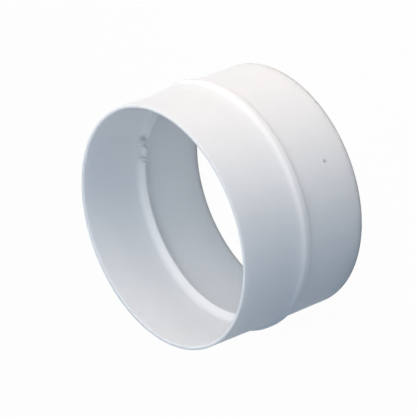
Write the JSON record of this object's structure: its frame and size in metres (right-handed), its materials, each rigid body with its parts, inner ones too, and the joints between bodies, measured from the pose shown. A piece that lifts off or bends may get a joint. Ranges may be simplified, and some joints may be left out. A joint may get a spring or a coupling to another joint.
{
  "type": "duct connector",
  "caption": "Moulded white plastic ring that joins round ducts end to end, with a raised stop collar outside and a stop rib inside.",
  "frame": {"origin": "centre of the lower rim, on the floor the ring stands on", "axes": "+Z along the ring's axis from the lower rim to the upper rim, -Y towards the picture's camera"},
  "size_m": [0.1022, 0.1022, 0.0592],
  "materials": {
    "moulded_plastic": "satin"
  },
  "bodies": {
    "root": {"duct_connector": "moulded_plastic"}
  },
  "joints": []
}
